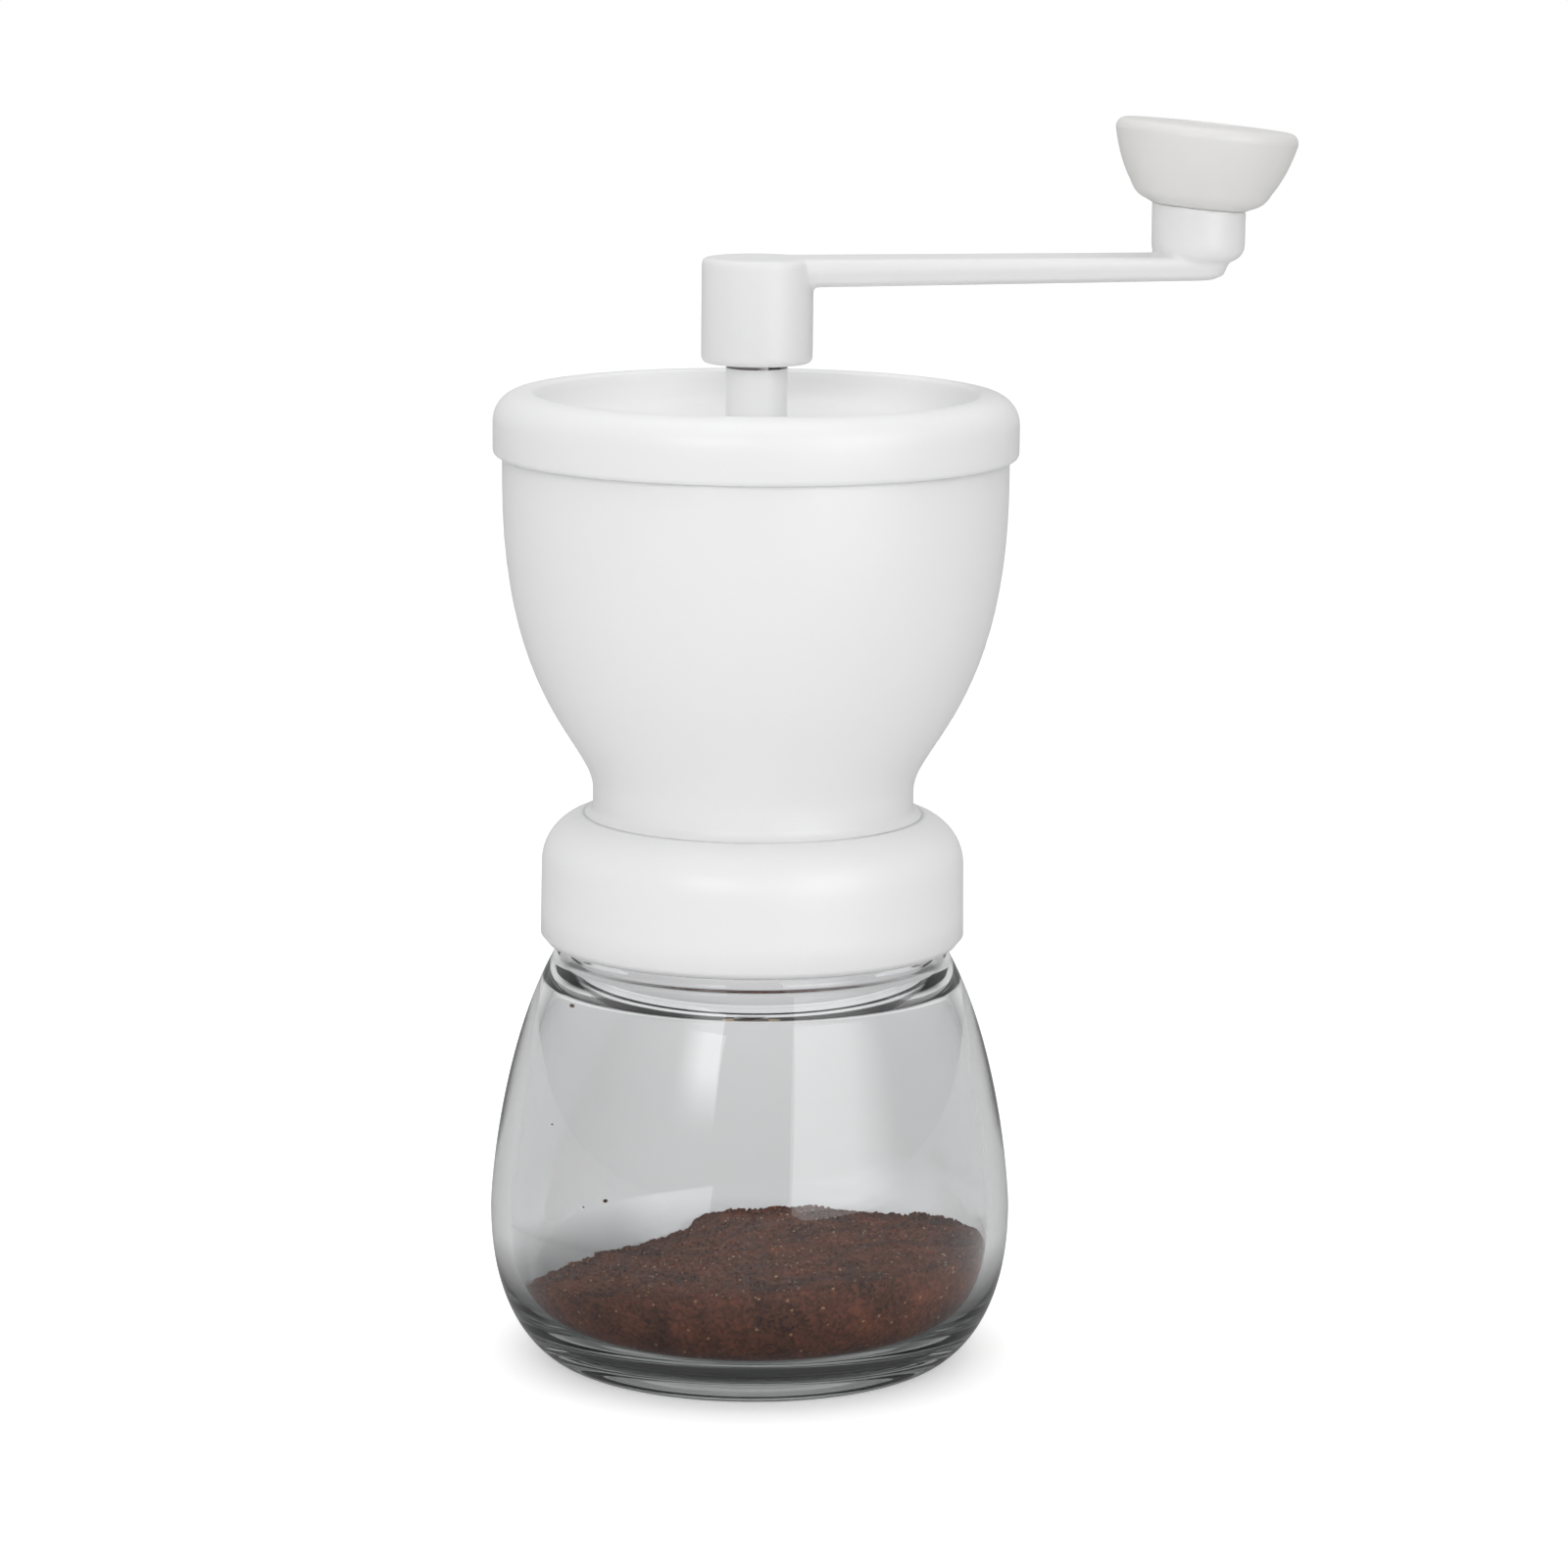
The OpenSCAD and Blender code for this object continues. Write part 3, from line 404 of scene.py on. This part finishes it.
body_white = moulded_plastic("body_white", (0.81, 0.81, 0.815), 0.36)
crank_white = moulded_plastic("crank_white", (0.77, 0.77, 0.77), 0.36)
knob_white = moulded_plastic("knob_white", (0.72, 0.715, 0.705), 0.38)
inner_white = moulded_plastic("inner_white", (0.74, 0.74, 0.735), 0.45)
nut_black = moulded_plastic("nut_black", (0.03, 0.03, 0.032), 0.5)
jar_smoke = smoked_glass()
# The last value paints the sides of the grounds lighter than their top: painted light
coffee_brown = ground_coffee("coffee_brown", (0.065, 0.023, 0.013), (0.26, 0.089, 0.048),
                             (0.5, 0.26, 0.13), 1.2)
chaff_tan = ground_coffee("chaff_tan", (0.36, 0.22, 0.12), (0.6, 0.41, 0.26), (0.65, 0.46, 0.3), 1.0)
steel_ground = turned_metal("steel_ground", (0.62, 0.62, 0.63), 0.28)
steel_zinc = turned_metal("steel_zinc", (0.58, 0.59, 0.61), 0.36, 900)
steel_clip = turned_metal("steel_clip", (0.30, 0.29, 0.28), 0.22)
brass_turned = turned_metal("brass_turned", (0.72, 0.50, 0.21), 0.3)
ceramic_burr = sintered_ceramic()
seal_silicone = silicone()

NODE_MATERIALS = {
    "jar_gasket": seal_silicone,
    "outer_burr": ceramic_burr,
    "inner_burr": ceramic_burr,
    "burr_retainer": nut_black,
    "burr_driver": nut_black,
    "adjusting_nut": nut_black,
    "retainer_screws": steel_zinc,
    "carrier_screws": steel_zinc,
    "knob_screw": steel_zinc,
    "knob_washer": steel_zinc,
    "shaft_carrier": inner_white,
    "lower_bush": brass_turned,
    "upper_bush": brass_turned,
    "nut_insert": brass_turned,
    "drive_shaft": steel_ground,
    "thrust_washer": steel_ground,
    "spring_seat": steel_ground,
    "knob_spindle": steel_ground,
    "shaft_clip": steel_clip,
}
for node, material in NODE_MATERIALS.items():
    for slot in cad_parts[node].material_slots:
        slot.link = "OBJECT"
        slot.material = material


# The jar
def thread_rise(angle, z):
    """How far the thread's ridge stands out of the neck at this place."""
    best = 0
    for turn in range(2):
        along = angle / (2 * math.pi) + turn
        if along > THREAD_TURNS:
            continue
        off = abs(z - THREAD_Z - THREAD_PITCH * along)
        flank = (THREAD_FOOT - THREAD_CREST) / 2
        rise = min(1, max(0, (THREAD_FOOT / 2 - off) / flank))
        fade = min(1, along * 9, (THREAD_TURNS - along) * 9)
        best = max(best, rise * fade)
    return best * THREAD_DEPTH


def make_jar():
    up = jar_outside()
    down = jar_inside() + jar_neck_inside()
    floor = straight((0, FLOOR_Z), down[0], 3)[:-1]
    bm = lathe(up + down[::-1] + floor[::-1], 176)
    for v in bm.verts:
        r = math.hypot(v.co.x, v.co.y)
        if abs(r - NECK_R) < 1e-3 and BEAD_Z + 1 < v.co.z < MOUTH_Z - 1.2:
            angle = math.atan2(v.co.y, v.co.x) % (2 * math.pi)
            grow = 1 + thread_rise(angle, v.co.z) / r
            v.co.x *= grow
            v.co.y *= grow
    return finish(bm, "jar_glass", "jar", jar_smoke, ["glass_jar"], 50)


INSIDE = jar_inside()


def inside_radius(z):
    """Radius of the hollow at this height."""
    for (r0, z0), (r1, z1) in zip(INSIDE, INSIDE[1:]):
        if z0 <= z <= z1 and z1 > z0:
            return r0 + (r1 - r0) * (z - z0) / (z1 - z0)
    return INSIDE[0][0] if z < INSIDE[0][1] else INSIDE[-1][0]


def heap_height(x, y):
    """The low heaps: each is the top of a large ball."""
    best = 0
    for at_x, at_y, wide, high in HEAPS:
        ball_r = (wide * wide + high * high) / (2 * high)
        off = math.hypot(x - at_x, y - at_y)
        if off < wide:
            best = max(best, high - ball_r + math.sqrt(ball_r * ball_r - off * off))
    return best


def crumble(x, y):
    """A ledge, a hollow and a broad fall at the far side, clods and grains."""
    place = Vector((x, y, SEED))
    rise = 0.42 * noise.fractal(place / 3.1, 0.6, 2.2, 4)
    for (at_x, at_y, wide, high), sign in ((LEDGE, 1), (HOLLOW, -1), (FALL, -1)):
        off = math.hypot(x - at_x, y - at_y) / wide
        rise += sign * high * max(0, 1 - off ** 4)
    return rise


def surface_height(x, y):
    up_slope = x * math.cos(GROUNDS_TURN) + y * math.sin(GROUNDS_TURN)
    return GROUNDS_Z + GROUNDS_SLOPE * up_slope + heap_height(x, y) + crumble(x, y)


def rim_place(angle):
    """Where the loose surface meets the glass, in this direction."""
    z = GROUNDS_Z
    for _ in range(8):
        r = inside_radius(z) - GROUNDS_GAP
        z = surface_height(r * math.cos(angle), r * math.sin(angle))
    return r, z


def make_grounds():
    """Spins a plain cup profile, then moves it out to the glass and up to the loose surface."""
    rows = 46
    sides = 26
    foot = 6
    profile = ([(i / foot, -1) for i in range(foot)]
               + [(1, -1 + i / sides) for i in range(sides)]
               + [(1 - i / rows, 0) for i in range(rows + 1)])
    bm = lathe(profile, 400)
    places = {}
    for v in bm.verts:
        share = math.hypot(v.co.x, v.co.y)
        angle = math.atan2(v.co.y, v.co.x)
        key = round(angle, 4)
        if key not in places:
            places[key] = rim_place(angle)
        rim_r, rim_z = places[key]
        if v.co.z > -1e-3:
            x, y = share * rim_r * math.cos(angle), share * rim_r * math.sin(angle)
            v.co = (x, y, surface_height(x, y))
            continue
        low = FLOOR_Z + GROUNDS_GAP
        z = low + (rim_z - low) * (1 + v.co.z)
        r = min(share, 1) * (inside_radius(z) - GROUNDS_GAP)
        if v.co.z > -0.999:
            grain = Vector((angle * 40, z, 0)) / 1.3
            r -= 0.22 * (0.5 + 0.5 * noise.noise(grain))
        v.co = (r * math.cos(angle), r * math.sin(angle), z)
    bmesh.ops.remove_doubles(bm, verts=bm.verts, dist=1e-3)
    bmesh.ops.recalc_face_normals(bm, faces=bm.faces)
    return finish(bm, "loose_grounds", "jar", coffee_brown, ["coffee_grounds"], 180)


def scatter(name, count, sizes, material, flat=1.0, edge_share=0.35):
    """Small lumps on the loose surface, more of them where it meets the glass."""
    rng = random.Random(name)
    joined = bmesh.new()
    batch = 120
    for start in range(0, count, batch):
        bm = bmesh.new()
        for _ in range(min(batch, count - start)):
            angle = rng.uniform(0, 2 * math.pi)
            rim_r, _rim_z = rim_place(angle)
            at_edge = rng.random() < edge_share
            share = rng.uniform(0.93, 1) if at_edge else math.sqrt(rng.random())
            size = rng.uniform(*sizes) * (0.6 + 0.4 * rng.random())
            r = min(share * rim_r, rim_r - size)
            x, y = r * math.cos(angle), r * math.sin(angle)
            turn = Matrix.Rotation(rng.uniform(0, 6.28), 4, Vector(
                (rng.uniform(-1, 1), rng.uniform(-1, 1), rng.uniform(-1, 1))).normalized())
            place = Matrix.Translation((x, y, surface_height(x, y) + size * 0.35 * flat))
            shape = Matrix.Diagonal((size, size * rng.uniform(0.6, 1), size * flat, 1))
            bmesh.ops.create_icosphere(bm, subdivisions=1, radius=1,
                                       matrix=place @ turn @ shape)
        part = bpy.data.meshes.new("batch")
        bm.to_mesh(part)
        bm.free()
        joined.from_mesh(part)
        bpy.data.meshes.remove(part)
    return finish(joined, name, "jar", material, (), 20)


def make_strays():
    """Single grains that cling to the inside of the glass, as (turn from the view, height)."""
    rng = random.Random(3)
    bm = bmesh.new()
    for turn, z, size in ((-60, 63.9, 0.42), (-35, 34.7, 0.42), (-41, 33.0, 0.2), (3, 27.0, 0.2),
                          (-55, 45.0, 0.18), (24, 31.0, 0.2)):
        angle = math.radians(turn) - math.pi / 2 - VIEW_TURN
        r = inside_radius(z) - size * 0.6
        place = Matrix.Translation((r * math.cos(angle), r * math.sin(angle), z))
        shape = Matrix.Diagonal((size, size * rng.uniform(0.7, 1), size * 0.8, 1))
        bmesh.ops.create_icosphere(bm, subdivisions=1, radius=1, matrix=place @ shape)
    return finish(bm, "stray_grains", "jar", coffee_brown, (), 20)


make_jar()
make_grounds()
scatter("ground_crumbs", 5200, (0.16, 0.46), coffee_brown)
scatter("chaff_flakes", 520, (0.16, 0.4), chaff_tan, 0.3)
make_strays()


# White mouldings: their bodies come from the frame, merged and shaded as one smooth skin
def moulding(node, name, body, material):
    return finish(merged_copy(node), name, body, material, [node], 32)


def make_knob():
    """Its flank bulges a little, and its foot comes down to the post so that no gap shows."""
    edge = arc((KNOB_R - KNOB_EDGE_R, KNOB_H - 2), KNOB_EDGE_R, -13, 78, 14)
    outline = ([(KNOB_BORE_R, 0.01), (KNOB_FOOT_R - 0.5, 0.01)]
               + curve((KNOB_FOOT_R, 0.3), (KNOB_FOOT_R + 1.5, 0.9), (KNOB_R - 4.5, 1.2),
                       KNOB_WAIST, 12)
               + curve(KNOB_WAIST, along(KNOB_WAIST, (0.56, 0.83), 3), (edge[0][0] - 0.67,
                       edge[0][1] - 2.9), edge[0], 14)[1:]
               + edge[1:]
               + [(CAP_SEAT_R + 0.4, KNOB_H), (CAP_SEAT_R, KNOB_H - 0.4), (CAP_SEAT_R, CAP_SEAT_Z),
                  (WELL_R, CAP_SEAT_Z), (WELL_R, WELL_Z), (KNOB_BORE_R, WELL_Z)])
    bm = lathe(outline, 128, True)
    place = Matrix.Translation(KNOB_FOOT) @ Matrix.Rotation(KNOB_LEAN, 4, "Y")
    bmesh.ops.transform(bm, matrix=place, verts=bm.verts)
    return finish(bm, "knob_shell", "knob", knob_white, ["knob"], 32)


moulding("hopper_body", "hopper_shell", "housing", body_white)
moulding("lid", "lid_shell", "lid", body_white)
moulding("shaft_sleeve", "sleeve_tube", "shaft", body_white)
make_knob()
moulding("knob_cap", "knob_button", "knob", knob_white)


def make_crank():
    """Hub, arm and post flow into each other: the moulding is remeshed finely and eased."""
    piece = finish(merged_copy("crank_arm"), "crank_moulding", "crank",
                   crank_white, ["crank_arm"], 180)
    bpy.context.view_layer.objects.active = piece
    remesh = piece.modifiers.new("skin", "REMESH")
    remesh.mode = "VOXEL"
    remesh.voxel_size = CRANK_VOXEL * MM
    remesh.use_smooth_shade = True
    ease = piece.modifiers.new("ease", "SMOOTH")
    ease.factor = 0.5
    ease.iterations = 4
    for modifier in (remesh, ease):
        bpy.ops.object.modifier_apply(modifier=modifier.name)
    return piece


make_crank()


def make_spring():
    """A round wire wound up the shaft, which shortens as the cone burr rises."""
    rings = 32
    sides = 10
    run = SPRING_Z1 - SPRING_Z0 - 2 * SPRING_WIRE_R
    bm = bmesh.new()
    circle = bmesh.ops.create_circle(
        bm, segments=sides, radius=SPRING_WIRE_R, cap_ends=True,
        matrix=Matrix.Translation((SPRING_R, 0, SPRING_Z0 + SPRING_WIRE_R))
        @ Matrix.Rotation(math.pi / 2, 4, "X"))
    geom = list(bm.faces) + list(bm.edges) + circle["verts"]
    bmesh.ops.spin(bm, geom=geom, cent=(0, 0, 0), axis=(0, 0, 1),
                   dvec=(0, 0, run / (SPRING_TURNS * rings)),
                   angle=SPRING_TURNS * 2 * math.pi, steps=SPRING_TURNS * rings,
                   use_merge=False, use_duplicate=False)
    bmesh.ops.remove_doubles(bm, verts=bm.verts, dist=1e-4)
    bmesh.ops.recalc_face_normals(bm, faces=bm.faces)
    piece = finish(bm, "spring_wire", "shaft", steel_ground, ["burr_spring"])
    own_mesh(piece)
    return piece


make_spring()


# Camera
ahead = Vector((math.sin(VIEW_TURN), math.cos(VIEW_TURN), 0))
right = Vector((math.cos(VIEW_TURN), -math.sin(VIEW_TURN), 0))
up = Vector((0, 0, 1))
eye = -VIEW_DISTANCE * ahead + VIEW_ASIDE * right + VIEW_HEIGHT * up
gaze = math.cos(VIEW_PITCH) * ahead - math.sin(VIEW_PITCH) * up
camera = bpy.data.objects.new("camera", bpy.data.cameras.new("camera"))
camera.data.lens = LENS
camera.data.sensor_width = SENSOR
camera.data.clip_end = 20
camera.location = eye
upright = gaze.to_track_quat("-Z", "Y").to_matrix()
camera.rotation_euler = (upright @ Matrix.Rotation(VIEW_ROLL, 3, "Z")).to_euler()
bpy.context.scene.collection.objects.link(camera)
bpy.context.scene.camera = camera


# Light
def fade(lamp, start, end, low_end=0.0):
    """Dims the lamp from start to end of its width, and over low_end of its height from below."""
    lamp.data.use_nodes = True
    tree = lamp.data.node_tree
    place = add(tree, "ShaderNodeNewGeometry")
    split = add(tree, "ShaderNodeSeparateXYZ")
    tree.links.new(place.outputs["Parametric"], split.inputs["Vector"])
    across = spread(tree, split.outputs["X"], 1, 0, start, end)
    strength = across
    if low_end:
        strength = times(tree, across, spread(tree, split.outputs["Y"], 0, 1, 0, low_end))
    tree.links.new(strength, tree.nodes["Emission"].inputs["Strength"])


def softbox(name, aside, forward, height, width, tall, radiance, aim=0.09):
    """An area lamp at this place, seen from the camera: aside, ahead of the axis and up."""
    lamp = bpy.data.objects.new(name, bpy.data.lights.new(name, "AREA"))
    lamp.data.shape = "RECTANGLE"
    lamp.data.size = width
    lamp.data.size_y = tall
    lamp.data.energy = radiance * 4 * width * tall
    lamp.location = aside * right + forward * ahead + height * up
    lamp.rotation_euler = (Vector((0, 0, aim)) - lamp.location).to_track_quat("-Z", "Y").to_euler()
    lamp.visible_camera = False
    bpy.context.scene.collection.objects.link(lamp)
    return lamp


# A broad light over the camera and one overhead light the body. The jar mirrors two others.
front = softbox("front", -0.05, -1.35, 0.62, 1.0, 0.8, 2.1)
softbox("top", 0, -0.1, 1.5, 1.4, 1.4, 0.7)
window = softbox("window", 0.81, -0.69, 0.55, 1.06, 1.3, 1.6, 0.55)
window.rotation_euler.rotate_axis("Z", math.radians(-12))
side = softbox("side", -0.59, -1.135, 0.62, 0.52, 0.7, 2.6)
front.visible_glossy = front.visible_transmission = False
window.visible_diffuse = False
side.visible_diffuse = False
fade(window, 0.57, 0.98)
fade(side, 0.6, 0.0, 0.4)


def make_world():
    """White for the camera. Other rays see it bright ahead, dimmer behind the camera and below."""
    world = bpy.data.worlds.new("studio")
    bpy.context.scene.world = world
    world.use_nodes = True
    tree = world.node_tree
    background = tree.nodes["Background"]
    coords = add(tree, "ShaderNodeTexCoord")
    facing = add(tree, "ShaderNodeVectorMath", operation="DOT_PRODUCT")
    facing.inputs[1].default_value = ahead
    split = add(tree, "ShaderNodeSeparateXYZ")
    tree.links.new(coords.outputs["Generated"], facing.inputs[0])
    tree.links.new(coords.outputs["Generated"], split.inputs["Vector"])
    level = spread(tree, facing.outputs["Value"], 0.6, 1.03, -0.4, 0.55)
    below = spread(tree, split.outputs["Z"], 0.25, 1.0, -0.25, 0.02)
    mirrored = spread(tree, facing.outputs["Value"], 0.1, 0.5, -0.4, 0.9)
    through = spread(tree, facing.outputs["Value"], 0.25, 1.0, 0.75, 0.985)
    overhead = spread(tree, split.outputs["Z"], 0.25, 1.3, 0.15, 0.6)
    clear = add(tree, "ShaderNodeMath", operation="MAXIMUM")
    tree.links.new(through, clear.inputs[0])
    tree.links.new(overhead, clear.inputs[1])
    clear = clear.outputs["Value"]
    strength = by_ray(tree, times(tree, level, below), Glossy=mirrored, Transmission=clear,
                      Camera=1.0)
    tree.links.new(strength, background.inputs["Strength"])
    background.inputs["Color"].default_value = (1, 1, 1, 1)


make_world()


def make_floor():
    """A pale table top. To the camera it glows a little, so that it turns white off the shadow.
    Seen through the glass it is greyer, with a painted shadow close to the jar and painted shade to
    both sides, and mirrored it is dimmer."""
    bm = bmesh.new()
    bmesh.ops.create_grid(bm, x_segments=1, y_segments=1, size=2.5)
    mesh = bpy.data.meshes.new("table_top")
    bm.to_mesh(mesh)
    bm.free()
    floor = bpy.data.objects.new("table_top", mesh)
    floor.location.z = -0.00005
    bpy.context.scene.collection.objects.link(floor)
    material, tree, shader = new_material("pale_table")
    shader.inputs["Roughness"].default_value = 0.9
    shader.inputs["Specular IOR Level"].default_value = 0.1
    coords = add(tree, "ShaderNodeTexCoord")
    off = add(tree, "ShaderNodeVectorMath", operation="LENGTH")
    tree.links.new(coords.outputs["Object"], off.inputs[0])
    # Painted shadow for rays through the glass: the table is darker the closer it is to the jar's
    # axis
    painted_jar_shadow = spread(tree, off.outputs["Value"], 0.1, 0.64, 0.045, 0.105)
    aside = add(tree, "ShaderNodeVectorMath", operation="DOT_PRODUCT")
    aside.inputs[1].default_value = right
    tree.links.new(coords.outputs["Object"], aside.inputs[0])
    beside = add(tree, "ShaderNodeMath", operation="ABSOLUTE")
    tree.links.new(aside.outputs["Value"], beside.inputs[0])
    # Painted shade: for rays through the glass the table also darkens to both sides of the view, on
    # top of the painted shadow near the jar
    seen = times(tree, painted_jar_shadow, spread(tree, beside.outputs["Value"], 1.0, 0.9, 0.015, 0.045))
    pale = by_ray(tree, 0.82, Glossy=0.2, Transmission=times(tree, seen, 0.82), Camera=0.82)
    tree.links.new(pale, shader.inputs["Base Color"])
    glow = by_ray(tree, 0.0, Glossy=0.1, Transmission=times(tree, seen, 0.42), Camera=0.42)
    tree.links.new(glow, shader.inputs["Emission Strength"])
    shader.inputs["Emission Color"].default_value = (1, 1, 1, 1)
    mesh.materials.append(material)


make_floor()

# In the thick glass of the heel, light turns round many times before it comes out again
paths = bpy.context.scene.cycles
paths.max_bounces = paths.glossy_bounces = paths.transmission_bounces = GLASS_TURNS

bpy.context.scene.view_settings.view_transform = "Standard"
